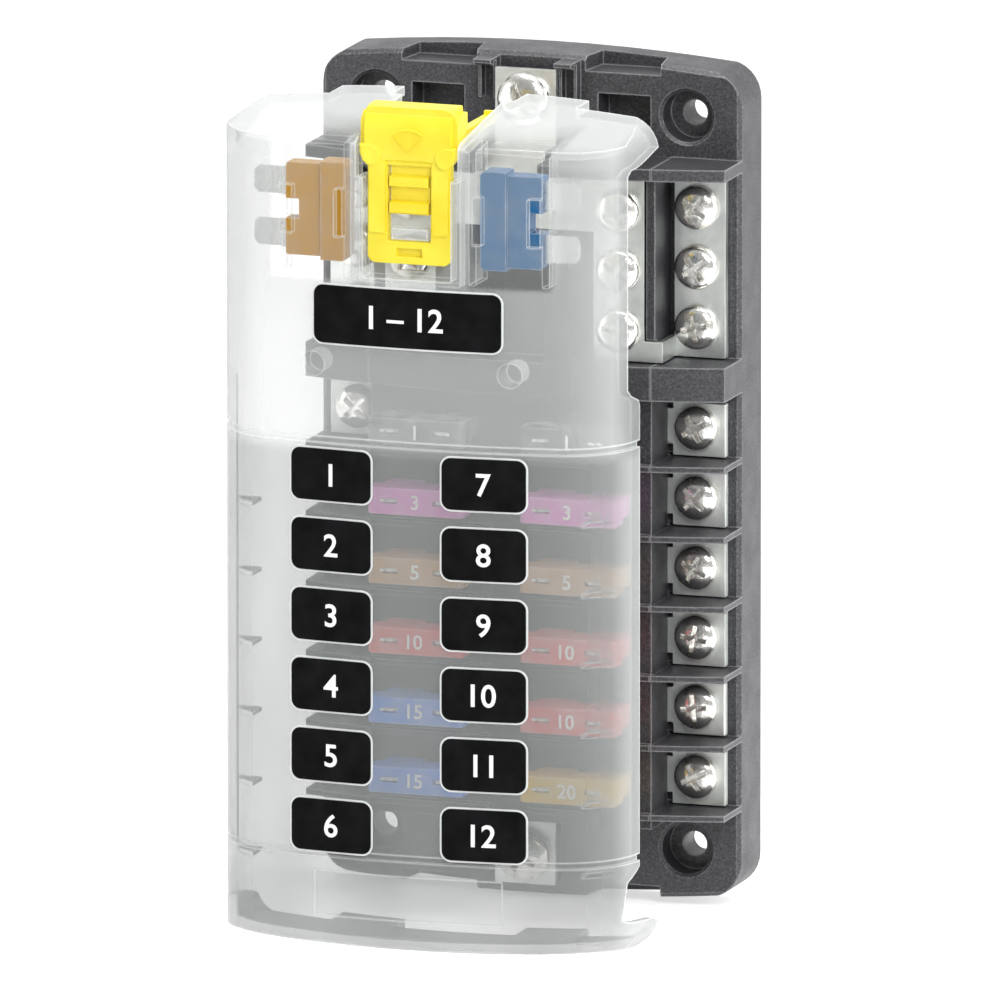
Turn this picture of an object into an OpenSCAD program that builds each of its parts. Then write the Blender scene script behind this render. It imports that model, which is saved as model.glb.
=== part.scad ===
// Twelve-circuit blade fuse block with a negative bus and a clear lift-off cover.
// Every module draws the block lying on its back: x across, y along, z out of the wall.
// stand() then turns it upright, so that the finished block has +Z up and faces -Y.
// The cover is drawn lifted off along the wall's normal, as the photograph shows it.

/* [Base tray] */
// Width of the tray across both columns of circuits
tray_w = 84.5; // [84:0.5:92]
// Length of the tray between the crests of its two end arcs
tray_len = 164.3; // [163:0.5:176]
// Radius of the end arcs
end_r = 380; // [300:10:500]
// Corner radius of the outline
corner_r = 7; // [5:0.5:8]
// Height of the tray's front face above the wall
tray_h = 12.5; // [12:0.5:15]
// Chamfer round the front edge of the tray
tray_chamfer = 0.8; // [0.3:0.1:1.5]
// Depth of the relief moulded into the tray's back
back_relief = 1.2; // [0.5:0.1:2]

/* [Mounting holes] */
// Distance between the mounting holes across the block
mount_pitch_x = 62.6; // [61:0.2:66]
// Distance between the mounting holes along the block
mount_pitch_y = 142.8; // [141:0.2:144]
// Diameter of the mounting holes
mount_hole_d = 4.8; // [4.2:0.1:5.6]
// Diameter of the wells for the screw heads
mount_head_d = 10; // [9:0.2:11]
// Height of the floor of those wells
mount_seat_h = 7; // [3:0.5:8]

/* [Circuits] */
// Number of circuits in each column
side_circuits = 6; // [4:1:6]
// Distance from one circuit to the next
circuit_pitch = 13.6; // [13.2:0.1:13.8]
// Height of the first circuit above the middle of the block
first_circuit_y = 11.55; // [11:0.05:12]
// How far each barrier sits above the middle between two screws
barrier_shift = 0.3; // [0:0.1:0.5]
// Thickness of the barriers between the circuits
barrier_t = 1.2; // [0.8:0.1:1.6]
// Distance of the screw centres from the side of the tray
screw_inset = 8.05; // [7.6:0.05:8.6]
// Width of a terminal plate along the block
terminal_w = 10.4; // [9.4:0.2:10.6]
// How far the plates sit below their screws' line
terminal_shift = 0.4; // [0:0.1:0.5]
// Distance of the terminal plates from the side of the tray
terminal_inset = 2.45; // [2:0.05:3]
// Height of the pads that carry the terminal plates
pad_h = 1; // [0.6:0.1:1.6]
// Width of the strip that runs from a terminal plate to its fuse clip
neck_w = 7; // [5:0.5:8]

/* [Sheet metal] */
// Thickness of the bus bars and terminal strips
strip_t = 1.2; // [1:0.1:1.4]
// Thickness of the spring jaws of a fuse clip
jaw_t = 0.7; // [0.5:0.1:0.9]
// Length of the turned-down lip on the outer edge of a plate
lip_h = 0.8; // [0.4:0.1:0.9]

/* [Fuse deck] */
// Width of the raised fuse deck
deck_w = 56.6; // [55:0.2:57.4]
// Height of the seats for the fuses above the wall
fuse_seat_h = 24.6; // [24:0.2:25]
// Distance of each column of fuses from the middle
fuse_x = 15.3; // [14.8:0.1:15.6]
// Height of the walls' crown in the middle of the block
crown_h = 28.4; // [27.6:0.2:29]
// Thickness of the ribs across the deck between fuses
deck_rib_t = 1.2; // [0.8:0.1:1.6]
// Height of those ribs above the fuse seats
deck_rib_h = 1.4; // [0.6:0.2:2]

/* [Negative bus] */
// Distance between the screws along the bus
bus_pitch = 11.65; // [11:0.05:11.8]
// Position of the middle row of bus screws along the block
bus_y = 42.85; // [42.4:0.05:43.2]
// Length of the raised and lowered plates along the block
bus_len = 35.2; // [34:0.2:36]
// Distance of the inner columns of screws from the middle
bus_inner_x = 21; // [20.5:0.1:21.3]
// Height of the inner columns' seat above the wall
bus_tier_h = 21.4; // [20.4:0.2:21.8]
// Width of each raised plate
bus_leg_w = 10.2; // [9.5:0.1:10.4]
// Width of the strip that joins the two raised plates
bus_yoke_w = 10.5; // [8:0.5:12]
// Length of the link from each raised plate down to the outer plate
bus_link_w = 4; // [3:0.5:6]

/* [Screws] */
// Head diameter of the circuit and bus screws
screw_head_d = 8.6; // [7.6:0.1:9.2]
// Head height of the circuit and bus screws
screw_head_h = 2.7; // [2.2:0.1:3.2]
// Shank diameter of the circuit and bus screws
screw_d = 4; // [3.4:0.1:4.2]
// Length of the circuit and bus screws under the head
screw_len = 9; // [7:0.5:10]
// Head diameter of the two main terminal screws
main_head_d = 10.6; // [9.6:0.1:11]
// Head height of the two main terminal screws
main_head_h = 3.4; // [2.8:0.1:3.8]
// Shank diameter of the two main terminal screws
main_screw_d = 4.8; // [4:0.1:5]
// Clearance round every screw shank
screw_clearance = 0.15; // [0.05:0.05:0.25]

/* [Main terminals] */
// Width of the two main terminal plates
main_w = 12.2; // [11.5:0.1:12.6]
// Length of the two main terminal plates
main_len = 11.6; // [11:0.2:12]
// Distance of the main screws from the ends of the tray
main_inset = 8.4; // [8:0.1:8.8]
// Height of the pads under the main terminal plates
main_pad_h = 2.3; // [1.6:0.1:2.6]

/* [Blade fuses] */
// Width of a fuse body across its two blades
fuse_w = 19.1; // [18.6:0.1:19.2]
// Thickness of a fuse body at its cap
fuse_t = 5.1; // [4.8:0.1:5.2]
// Height of a fuse body
fuse_h = 12.3; // [11.8:0.1:12.4]
// Distance between the middles of the two blades
blade_pitch = 10.1; // [9.8:0.1:10.2]
// Width of a blade
blade_w = 5.2; // [4.8:0.1:5.3]
// Thickness of a blade
blade_t = 0.65; // [0.55:0.05:0.7]
// Length of a blade below the body
blade_len = 6.8; // [6:0.1:7]

/* [Cover] */
// Width of the cover
cover_w = 82.5; // [81:0.5:83]
// Height of the closed cover's front above the wall, in the middle
cover_h = 41; // [40.8:0.2:43]
// Radius of the cover's front across the block
cover_front_r = 165; // [150:5:200]
// Half width of the front before it rolls over into the sides
cover_front_x = 28; // [26.5:0.5:30]
// Wall thickness of the cover
cover_wall = 1.8; // [1.4:0.1:2]
// How far the ends of the cover lean inwards towards the front
cover_draft = 3.4; // [1:0.2:4]
// Rounding between the ends and the front
cover_edge_r = 3; // [2:0.5:4]
// Gap between the closed cover and the tray's front face
cover_gap = 0.5; // [0.3:0.1:1]
// Height of the side walls' rear edge beside the circuits
cover_side_h = 24.2; // [23.8:0.2:26]
// Height of that edge beside the negative bus, where wires leave
cover_wire_h = 28.5; // [27:0.5:31]
// Width of the grooves across the cover
groove_w = 1.2; // [0.8:0.1:2]
// Depth of the grooves across the cover
groove_depth = 0.6; // [0.3:0.1:0.8]
// How far out the spare fuses lie, from the latch's pocket at 0 to the cover's side at 1
spare_share = 0.3243; // [0.31:0.0001:0.34]
// How far the cover is lifted off the tray
cover_lift = 46.5; // [0:0.5:80]

/* [Latch] */
// Width of the latch's push pad
latch_pad_w = 19.4; // [19.2:0.1:19.8]
// Width of the latch's legs and bottom bar
latch_leg_w = 16.6; // [16:0.2:17.2]
// Thickness of the latch's front plate
latch_t = 1.9; // [1.6:0.1:2.2]
// Depth of the pocket in the cover that the latch slides in
pocket_depth = 4.1; // [3.8:0.1:4.4]
// How far the latch slides down when it is pressed
latch_travel = 2.4; // [2:0.1:2.8]
// Width of each catch arm
arm_w = 1.8; // [1.4:0.1:2]
// Distance of each catch arm from the middle
arm_x = 8.1; // [8:0.1:8.2]
// How far the catch teeth reach under the tray's noses
catch_bite = 0.4; // [0.2:0.1:0.6]

/* [Labels] */
// Thickness of the stuck-on labels
label_t = 0.25; // [0.15:0.05:0.4]
// Width of a circuit label
label_w = 16.4; // [14:0.2:17]
// Height of a circuit label
label_h = 10; // [8:0.5:11]
// Corner radius of the labels
label_r = 1.8; // [0.5:0.1:3]
// Width of the title label
title_w = 37.5; // [30:0.5:40]
// Height of the title label
title_h = 11.2; // [8:0.2:12]
// Position of the title label along the block
title_y = 44.1; // [42:0.1:45]

/* [Hidden] */
fit = 0.3;
fine = 0.1;
corner_rise = 0.16;
far = 200;
circuits = 2 * side_circuits;
rim_y = tray_len / 2;
half_w = tray_w / 2;
half_deck = deck_w / 2;
screw_x = half_w - screw_inset;
plate_out = half_w - terminal_inset;
plate_in = half_deck + 1;
strip_z = tray_h + pad_h;
strip_top = strip_z + strip_t;
crown_r = cover_front_r - (cover_h - crown_h);
last_circuit_y = first_circuit_y - (side_circuits - 1) * circuit_pitch;
bus_top = bus_y + bus_len / 2;
bus_bottom = bus_y - bus_len / 2;
rib_t = 2.4;
rib_bottom = bus_top + 0.6;
rib_top = rib_bottom + rib_t;
block_top = bus_bottom - fit;
block_bottom = first_circuit_y + circuit_pitch / 2 - 0.05;
deck_overhang = 2.2;
deck_end = last_circuit_y - circuit_pitch / 2 - deck_overhang;
tier_plate_top = bus_tier_h + strip_t;
tier_in = bus_inner_x - bus_leg_w / 2;
tier_out = bus_inner_x + bus_leg_w / 2;
riser_x = half_deck + fit;
bus_plate_in = plate_in + fit;
main_y = rim_y - main_inset;
main_z = tray_h + main_pad_h;
main_plate_top = main_z + strip_t;
blade_inner_x = fuse_x - blade_pitch / 2;
blade_outer_x = fuse_x + blade_pitch / 2;
jaw_gap = blade_t + 0.15;
jaw_top = fuse_seat_h - 0.7;
pocket_w = blade_w + 0.8;
pocket_t = jaw_gap + 2 * jaw_t + 1.2;
bus_bar_x = blade_inner_x + blade_w / 2;
notch_in = 10.8;
notch_out = 26.2;
notch_slope = 1.2;
notch_y = 3;
notch_floor = 5;
recess_in = 13.5;
recess_out = 24;
recess_top = rim_y - 7.15;
recess_bottom = recess_top - 7.6;
recess_floor = 6;
tab_in = notch_in + notch_slope + fit;
tab_out = notch_out - notch_slope - fit;
tab_floor = notch_floor + fit;
arm_top = rim_y - 2.55;
arm_t = 1.8;
pad_bottom = rim_y - 8.15;
latch_gap_y = pad_bottom - latch_travel - 2 * fit;
arm_floor = tray_h + 1.8;
tooth_h = 1.8;
nose_floor = arm_floor + tooth_h + 0.4;
nose_h = 1.6;
guide_t = 0.6;
latch_gap_x = arm_x + arm_w / 2 + guide_t + 2 * fit;
guide_h = 2.2;
guide_len = 8;
pocket_floor = cover_h - pocket_depth;
floor_t = 1.4;
pocket_in = latch_leg_w / 2 + 0.5;
pocket_wall = 1.2;
pocket_out = pocket_in + pocket_wall;
latch_back = pocket_floor + fit;
latch_front = latch_back + latch_t;
latch_top = rim_y + 2.4;
latch_bottom = rim_y - 27.75;
pocket_bottom = latch_bottom - latch_travel - fit;
bar_h = 4.3;
leg_end = latch_bottom + 5.9;
leg_rise = 0.6;
window_in = 4.3;
tongue_w = 7.8;
tongue_end = latch_bottom + 9.6;
stop_h = 2.1;
stem_w = 5.6;
stem_h = 2.6;
spare_x = pocket_out + spare_share * (cover_w / 2 - cover_wall - pocket_out);
spare_y = rim_y - 18.95;
spare_z = cover_h - cover_wall - 2.3 - fuse_t / 2;
spare_wall = 1.2;
spare_rib_z = spare_z - 3;
spare_in = spare_x - fuse_h / 2 - fine;
spare_out = spare_x + fuse_h / 2 + fine;
spare_bottom = spare_y - 12.2;
spare_top = spare_y + 15.8;
slot_bottom = spare_y - 4.2;
slot_top = spare_y + 5;
boss_x = 19.7;
boss_y = title_y - 10.3;
boss_d = 4.6;
wire_top = rim_y - 9.4;
wire_bottom = rib_bottom - bus_len + 4.6;
side_bottom = last_circuit_y - 6;
hook_top = rim_y - 7.4;
hook_bottom = 8 - rim_y;
shoulder_rib_x = cover_front_x + 5;
rib_half = 0.4;
panel_depth = 0.4;
relief_x = mount_pitch_x / 2 - 6.3;
relief_y = mount_pitch_y / 2 - 11.4;
panel_w = 37.5;
panel_h = 8.6;
panel_y = 13.75 - rim_y;
groove_y = [block_bottom + 1.3, panel_y + 7.8];
corner_steps = 8;
front_steps = 24;
shoulder_steps = 16;
round_steps = 5;
left_colours = ["WhiteSmoke", "Plum", "Tan", "IndianRed", "SteelBlue", "SteelBlue"];
right_colours = ["WhiteSmoke", "Plum", "Tan", "IndianRed", "IndianRed", "Gold"];

barrier_ys = [for (k = [1:side_circuits])
    first_circuit_y + barrier_shift + circuit_pitch / 2 - k * circuit_pitch];

function two_digits(i) = i < 10 ? str("0", i) : str(i);
function column_side(i) = i < side_circuits ? -1 : 1;
function circuit_y(i) = first_circuit_y - (i % side_circuits) * circuit_pitch;
function fuse_colour(i) =
    column_side(i) < 0 ? left_colours[i % side_circuits] : right_colours[i % side_circuits];

// Points along an arc about (cx, cy)
function arc(cx, cy, r, from, to, steps) =
    [for (k = [0:steps]) let (a = from + (to - from) * k / steps) [cx + r * cos(a), cy + r * sin(a)]];
// Height of a cover or wall surface of radius r and crest height top, at distance x
function crown_z(x, r, top) = top - r + sqrt(r * r - x * x);
// Where the end arc lies at distance x from the middle
function end_y(x) = rim_y - end_r + sqrt(end_r * end_r - x * x);

// Placing

module stand() rotate([90, 0, 0]) children();

module lifted() translate([0, 0, cover_lift]) children();

module both_sides() {
    children();
    mirror([1, 0, 0]) children();
}

module both_ends() {
    children();
    mirror([0, 1, 0]) children();
}

module block(x0, x1, y0, y1, z0, z1) translate([x0, y0, z0]) cube([x1 - x0, y1 - y0, z1 - z0]);

// Runs a profile drawn in x and z along the block, from y0 to y1
module along_y(y0, y1) translate([0, y1, 0]) rotate([90, 0, 0]) linear_extrude(y1 - y0) children();

// Runs a profile drawn in y and z across the block, from x0 to x1
module along_x(x0, x1) translate([x0, 0, 0]) rotate([90, 0, 90]) linear_extrude(x1 - x0) children();

// Outline and crown

// Straight sides and rounded corners; the end arcs are cut by end_form
module side_form(w, inset) {
    r = corner_r - inset;
    cx = w / 2 - corner_r;
    cy = end_y(w / 2 - corner_r) + corner_rise - corner_r;
    points = concat(arc(cx, cy, r, 0, 90, corner_steps), [[cx, far]]);
    both_sides() both_ends()
        polygon(concat([[0, 0], [w / 2 - inset, 0]], points, [[0, far]]));
}

// A disc as wide as the end arc, its rim shaped by a profile in radius and height
module end_form(rim) {
    both_rims() rotate_extrude($fn = 360) polygon(concat([[0, -1]], rim, [[0, rim[len(rim) - 1][1]]]));
}

module both_rims() {
    intersection() {
        translate([0, rim_y - end_r, 0]) children();
        translate([0, end_r - rim_y, 0]) children();
    }
}

// Space under the crown that all walls and barriers share
module under_crown() {
    translate([0, far / 2, crown_h - crown_r]) rotate([90, 0, 0]) cylinder(r = crown_r, h = far, $fn = 240);
}

// Cross section of the cover's outside, taken in by inset
module cover_section(inset) {
    lean = asin(cover_front_x / cover_front_r);
    roll = (cover_w / 2 - cover_front_x) / (1 - sin(lean));
    cx = cover_front_x - roll * sin(lean);
    cz = crown_z(cover_front_x, cover_front_r, cover_h) - roll * cos(lean);
    right = arc(cx, cz, roll - inset, 0, 90 - lean, shoulder_steps);
    front = arc(0, cover_h - cover_front_r, cover_front_r - inset, 90 - lean, 90 + lean, front_steps);
    left = arc(-cx, cz, roll - inset, 90 + lean, 180, shoulder_steps);
    inner_front = [for (k = [1:front_steps - 1]) front[k]];
    polygon(concat([[cover_w / 2 - inset, -1]], right, inner_front, left, [[inset - cover_w / 2, -1]]));
}

// Rim of the cover's ends: leaning skirt, then a rounded front edge
module cover_ends(inset) {
    r = cover_edge_r - inset;
    lean_r = end_r - cover_draft - cover_edge_r;
    edge = arc(lean_r, cover_h + 0.3 - cover_edge_r, r, 0, 90, round_steps);
    end_form(concat([[end_r - inset, -1], [end_r - inset, tray_h]], edge));
}

module cover_form(inset) {
    intersection() {
        linear_extrude(far) side_form(cover_w, inset);
        along_y(-far, far) cover_section(inset);
        cover_ends(inset);
    }
}

// Base tray

module screw_bore(d, x, y, z) translate([x, y, z]) cylinder(d = d + 2 * screw_clearance, h = far, $fn = 32);

module tray_blank() {
    edge = tray_h - tray_chamfer;
    intersection() {
        linear_extrude(tray_h) side_form(tray_w, 0);
        along_y(-far, far) polygon([[-half_w, 0], [half_w, 0], [half_w, edge],
            [half_w - tray_chamfer, tray_h], [tray_chamfer - half_w, tray_h], [-half_w, edge]]);
        end_form([[end_r, -1], [end_r, edge], [end_r - tray_chamfer, tray_h]]);
    }
}

// Barriers and end walls beside the deck, cut to the crown
module tray_walls() {
    wall_in = half_deck + fine;
    intersection() {
        under_crown();
        both_sides() {
            block(wall_in, half_w, rib_bottom, rib_top, tray_h - 1, far);
            block(wall_in, half_w, block_bottom, block_top, tray_h - 1, far);
            for (y = barrier_ys) block(wall_in, half_w, y - barrier_t / 2, y + barrier_t / 2, tray_h - 1, far);
        }
    }
}

module tray_pads() {
    pad_out = plate_out - strip_t;
    pad_w = terminal_w - 0.4;
    both_sides() {
        block(bus_plate_in, pad_out, bus_bottom + 0.2, bus_top - 0.2, tray_h - 1, strip_z);
        for (i = [0:side_circuits - 1]) {
            y = circuit_y(i) - terminal_shift;
            block(blade_outer_x - blade_w / 2, pad_out, y - pad_w / 2, y + pad_w / 2, tray_h - 1, strip_z);
        }
    }
    both_ends() block(-main_w / 2, main_w / 2, main_y - 5.6, main_y + 5, tray_h - 1, main_z);
}

// Notches in the rim that take the cover's tabs
module rim_notches() {
    both_ends() both_sides() along_y(rim_y - notch_y, far)
        polygon([[notch_in, tray_h + 1], [notch_in + notch_slope, notch_floor],
            [notch_out - notch_slope, notch_floor], [notch_out, tray_h + 1]]);
}

// Ribs that guide the latch's arms, each pair closed by a nosed post
module catch_guides() {
    guide_top = rim_y - 0.9;
    guide_in = arm_x - arm_w / 2 - fit;
    guide_out = arm_x + arm_w / 2 + fit;
    nose_y = arm_top + fit;
    both_sides() {
        for (x = [guide_in - guide_t, guide_out])
            block(x, x + guide_t, guide_top - guide_len, guide_top, tray_h - 1, tray_h + guide_h);
        block(guide_in - guide_t, guide_out + guide_t, arm_top + catch_bite + 2 * fit, guide_top,
            tray_h - 1, nose_floor + nose_h);
        along_x(guide_in - guide_t, guide_out + guide_t)
            polygon([[nose_y, nose_floor], [guide_top, nose_floor], [guide_top, nose_floor + nose_h],
                [nose_y + 0.6, nose_floor + nose_h]]);
    }
}

module base_tray() {
    color("DimGray") difference() {
        union() {
            tray_blank();
            tray_walls();
            tray_pads();
            catch_guides();
        }
        both_sides() both_ends() translate([mount_pitch_x / 2, mount_pitch_y / 2, 0]) {
            translate([0, 0, -1]) cylinder(d = mount_hole_d, h = far, $fn = 48);
            translate([0, 0, mount_seat_h]) cylinder(d = mount_head_d, h = far, $fn = 64);
            translate([0, 0, tray_h - 0.6]) cylinder(d1 = mount_head_d, d2 = mount_head_d + 2, h = 1, $fn = 64);
        }
        rim_notches();
        both_sides() block(recess_in, recess_out, recess_bottom, recess_top, recess_floor, far);
        block(-relief_x, relief_x, -relief_y, relief_y, -1, back_relief);
        both_sides() {
            for (i = [0:side_circuits - 1])
                screw_bore(screw_d, screw_x, circuit_y(i), strip_top - screw_len - fit);
            for (k = [-1:1])
                screw_bore(screw_d, screw_x, bus_y + k * bus_pitch, strip_top - screw_len - fit);
        }
        both_ends() screw_bore(main_screw_d, 0, main_y, main_plate_top - screw_len - fit);
    }
}

// Fuse deck

module deck_blank() {
    intersection() {
        under_crown();
        union() {
            block(-half_deck, half_deck, deck_end, block_bottom, tray_h, fuse_seat_h);
            block(-half_deck, half_deck, block_bottom, block_top, tray_h, far);
            block(-half_deck, half_deck, block_top, rib_bottom, tray_h, bus_tier_h);
            block(-half_deck, half_deck, rib_bottom, rib_top, tray_h, far);
        }
    }
}

module deck_ribs() {
    both_sides() {
        for (y = barrier_ys) block(4, half_deck, y - deck_rib_t / 2, y + deck_rib_t / 2,
            fuse_seat_h - 1, fuse_seat_h + deck_rib_h);
        block(tier_out + fit + 0.1, half_deck, bus_bottom + bus_link_w + fit, rib_bottom + 1,
            bus_tier_h - 1, tier_plate_top);
    }
}

// Room under the deck for the bar, the terminal strips and their spring clips
module deck_channels() {
    block(-bus_bar_x - fit, bus_bar_x + fit, deck_end - 1, block_bottom + 1, tray_h - 1, tray_h + strip_t + fine);
    both_sides() for (i = [0:side_circuits - 1]) translate([0, circuit_y(i), 0]) {
        block(blade_outer_x - blade_w / 2 - fit, half_deck + 1, -terminal_shift - terminal_w / 2,
            terminal_w / 2 - terminal_shift, tray_h - 1, strip_top + fine);
        for (x = [blade_inner_x, blade_outer_x])
            block(x - pocket_w / 2, x + pocket_w / 2, -pocket_t / 2, pocket_t / 2, tray_h - 1, far);
    }
}

module fuse_deck() {
    color("#3a3c40") difference() {
        union() {
            deck_blank();
            deck_ribs();
        }
        deck_channels();
        block(-main_w / 2 - fit, main_w / 2 + fit, bus_top - 1, far, tier_plate_top - strip_t, far);
        both_sides() {
            block(tier_out - strip_t - fit, tier_out + fit, bus_bottom - 0.1, bus_top + 0.1,
                bus_tier_h - lip_h - 0.2, far);
            for (k = [-1:1])
                screw_bore(screw_d, bus_inner_x, bus_y + k * bus_pitch, tier_plate_top - screw_len - fit);
        }
    }
}

// Bus bars and terminals

module plate_hole(d, x, y) translate([x, y, 0]) cylinder(d = d + 2 * screw_clearance, h = far, $fn = 32);

// Two spring jaws that grip one blade
module jaws(x, y, z) {
    for (s = [0, 1]) mirror([0, s, 0]) translate([0, s == 0 ? y : -y, 0])
        block(x - blade_w / 2 + fine, x + blade_w / 2 - fine, jaw_gap / 2, jaw_gap / 2 + jaw_t, z, jaw_top);
}

module negative_bus() {
    color("Silver") difference() {
        union() {
            both_sides() {
                block(bus_plate_in, plate_out, bus_bottom, bus_top, strip_z, strip_top);
                block(riser_x, bus_plate_in + 1, bus_bottom, bus_bottom + bus_link_w, strip_z, strip_top);
                block(plate_out - strip_t + fine, plate_out, bus_bottom, bus_top, strip_z - lip_h, strip_top);
                block(riser_x, riser_x + strip_t, bus_bottom, bus_bottom + bus_link_w, strip_z, tier_plate_top);
                block(tier_in, riser_x + strip_t, bus_bottom, bus_bottom + bus_link_w, bus_tier_h, tier_plate_top);
                block(tier_in, tier_out, bus_bottom, bus_top, bus_tier_h, tier_plate_top);
                block(tier_out - strip_t + fine, tier_out, bus_bottom, bus_top, bus_tier_h - lip_h, tier_plate_top);
            }
            block(-tier_in - 1, tier_in + 1, bus_top - bus_yoke_w, bus_top, bus_tier_h, tier_plate_top);
            along_x(-main_w / 2, main_w / 2) polygon([[bus_top - 1, bus_tier_h], [rib_top + fit, bus_tier_h],
                [rib_top + fit, main_z], [main_y + main_len / 2, main_z], [main_y + main_len / 2, main_plate_top],
                [rib_top + fit + strip_t, main_plate_top], [rib_top + fit + strip_t, tier_plate_top],
                [bus_top - 1, tier_plate_top]]);
        }
        both_sides() for (k = [-1:1]) {
            plate_hole(screw_d, screw_x, bus_y + k * bus_pitch);
            plate_hole(screw_d, bus_inner_x, bus_y + k * bus_pitch);
        }
        plate_hole(main_screw_d, 0, main_y);
    }
}

module positive_bus() {
    bar_end = -deck_end + fit;
    color("Silver") {
        difference() {
            union() {
                block(-bus_bar_x, bus_bar_x, deck_end + 1, block_bottom, tray_h, tray_h + strip_t);
                mirror([0, 1, 0]) along_x(-main_w / 2, main_w / 2) polygon([[bar_end - 2, tray_h],
                    [bar_end + strip_t, tray_h], [bar_end + strip_t, main_z],
                    [main_y + main_len / 2, main_z], [main_y + main_len / 2, main_plate_top],
                    [bar_end, main_plate_top], [bar_end, tray_h + strip_t], [bar_end - 2, tray_h + strip_t]]);
            }
            plate_hole(main_screw_d, 0, -main_y);
        }
        both_sides() for (i = [0:side_circuits - 1]) jaws(blade_inner_x, circuit_y(i), tray_h + strip_t - fine);
    }
}

module circuit_terminal(i) {
    y = circuit_y(i);
    low = y - terminal_shift - terminal_w / 2;
    high = low + terminal_w;
    color("Gainsboro") mirror([column_side(i) < 0 ? 1 : 0, 0, 0]) union() {
        difference() {
            union() {
                block(plate_in, plate_out, low, high, strip_z, strip_top);
                block(plate_out - strip_t + fine, plate_out, low, high, strip_z - lip_h, strip_top);
                block(blade_outer_x - blade_w / 2, plate_in + 1, y - neck_w / 2, y + neck_w / 2,
                    strip_z, strip_top);
            }
            plate_hole(screw_d, screw_x, y);
        }
        jaws(blade_outer_x, y, strip_top - fine);
    }
}

// Screws

// Pan-head screw with a cross recess; its head rests at the origin
module pan_screw(head_d, head_h, shank_d, turn) {
    rim = head_d / 2;
    bite = head_h * 0.62;
    difference() {
        rotate_extrude($fn = 48) polygon(concat([[0, -screw_len], [shank_d / 2 - 0.4, -screw_len],
            [shank_d / 2, -screw_len + 0.5], [shank_d / 2, 0], [rim, 0], [rim, head_h * 0.35]],
            [for (a = [20:14:90]) [rim * 0.1 + rim * 0.9 * cos(a), head_h * (0.35 + 0.65 * sin(a))]],
            [[0, head_h]]));
        rotate([0, 0, turn]) for (a = [0, 90]) rotate([0, 0, a])
            translate([-head_d * 0.3, -head_d * 0.055, head_h - bite]) cube([head_d * 0.6, head_d * 0.11, head_h]);
    }
}

module circuit_screws() {
    color("LightGray") for (s = [-1, 1]) for (i = [0:side_circuits - 1])
        translate([s * screw_x, circuit_y(i), strip_top])
            pan_screw(screw_head_d, screw_head_h, screw_d, 38 + 17 * i - 9 * s);
}

module negative_bus_screws() {
    color("LightGray") for (s = [-1, 1]) for (k = [-1:1]) {
        translate([s * screw_x, bus_y + k * bus_pitch, strip_top])
            pan_screw(screw_head_d, screw_head_h, screw_d, 33 + 21 * k);
        translate([s * bus_inner_x, bus_y + k * bus_pitch, tier_plate_top])
            pan_screw(screw_head_d, screw_head_h, screw_d, 52 - 25 * k);
    }
}

module main_screw(end, turn) {
    color("LightGray") translate([0, end * main_y, main_plate_top])
        pan_screw(main_head_d, main_head_h, main_screw_d, turn);
}

// Blade fuses

// Body of a fuse seated at z = 0, blades down, its width along x
module fuse_body() {
    cap = fuse_h * 0.42;
    neck = fuse_w / 2 - 0.6;
    difference() {
        union() {
            along_y(-fuse_t / 2, fuse_t / 2) polygon([[-fuse_w / 2, fuse_h - cap], [fuse_w / 2, fuse_h - cap],
                [fuse_w / 2, fuse_h - 0.7], [fuse_w / 2 - 0.7, fuse_h],
                [0.7 - fuse_w / 2, fuse_h], [-fuse_w / 2, fuse_h - 0.7]]);
            along_y(-fuse_t * 0.38, fuse_t * 0.38) polygon([[-neck, 0.4], [0.4 - neck, 0], [-1.9, 0], [-1.9, 2.6],
                [1.9, 2.6], [1.9, 0], [neck - 0.4, 0], [neck, 0.4], [neck, fuse_h - cap + 1],
                [-neck, fuse_h - cap + 1]]);
        }
        for (s = [-1, 1]) {
            x = s * blade_pitch / 2;
            block(x - blade_w / 2 - fine, x + blade_w / 2 + fine, -blade_t / 2 - fine, blade_t / 2 + fine,
                -1, fuse_h - 0.8);
            block(x - 1.5, x + 1.5, -0.5, 0.5, fuse_h - 1, fuse_h + 1);
        }
        block(-blade_pitch / 2, blade_pitch / 2, -1.1, 1.1, 4, fuse_h - 1.6);
    }
}

// Both blades of a fuse and the link that melts between them
module fuse_element() {
    blade_in = blade_pitch / 2 - blade_w / 2;
    blade_out = blade_pitch / 2 + blade_w / 2;
    along_y(-blade_t / 2, blade_t / 2) {
        for (s = [-1, 1]) polygon([[s * blade_in, fuse_h - 1], [s * blade_in, 0.9 - blade_len],
            [s * (blade_in + 0.9), -blade_len], [s * (blade_out - 0.9), -blade_len],
            [s * blade_out, 0.9 - blade_len], [s * blade_out, fuse_h - 1]]);
    }
    along_y(-blade_t / 4, blade_t / 4) intersection() {
        difference() {
            translate([0, 5.2]) circle(r = blade_in + 0.4, $fn = 40);
            translate([0, 5.2]) circle(r = blade_in - 0.5, $fn = 40);
        }
        translate([-far, 5.2]) square([2 * far, far]);
    }
}

module seated_fuse(i) {
    translate([column_side(i) * fuse_x, circuit_y(i), fuse_seat_h + fine]) children();
}

// A spare lies on its side in the cover, blades pointing outwards
module stored_spare(side) {
    lifted() mirror([side < 0 ? 1 : 0, 0, 0]) translate([spare_out - fine, spare_y, spare_z])
        rotate([-90, 0, 0]) rotate([0, -90, 0]) children();
}

// Cover

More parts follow.
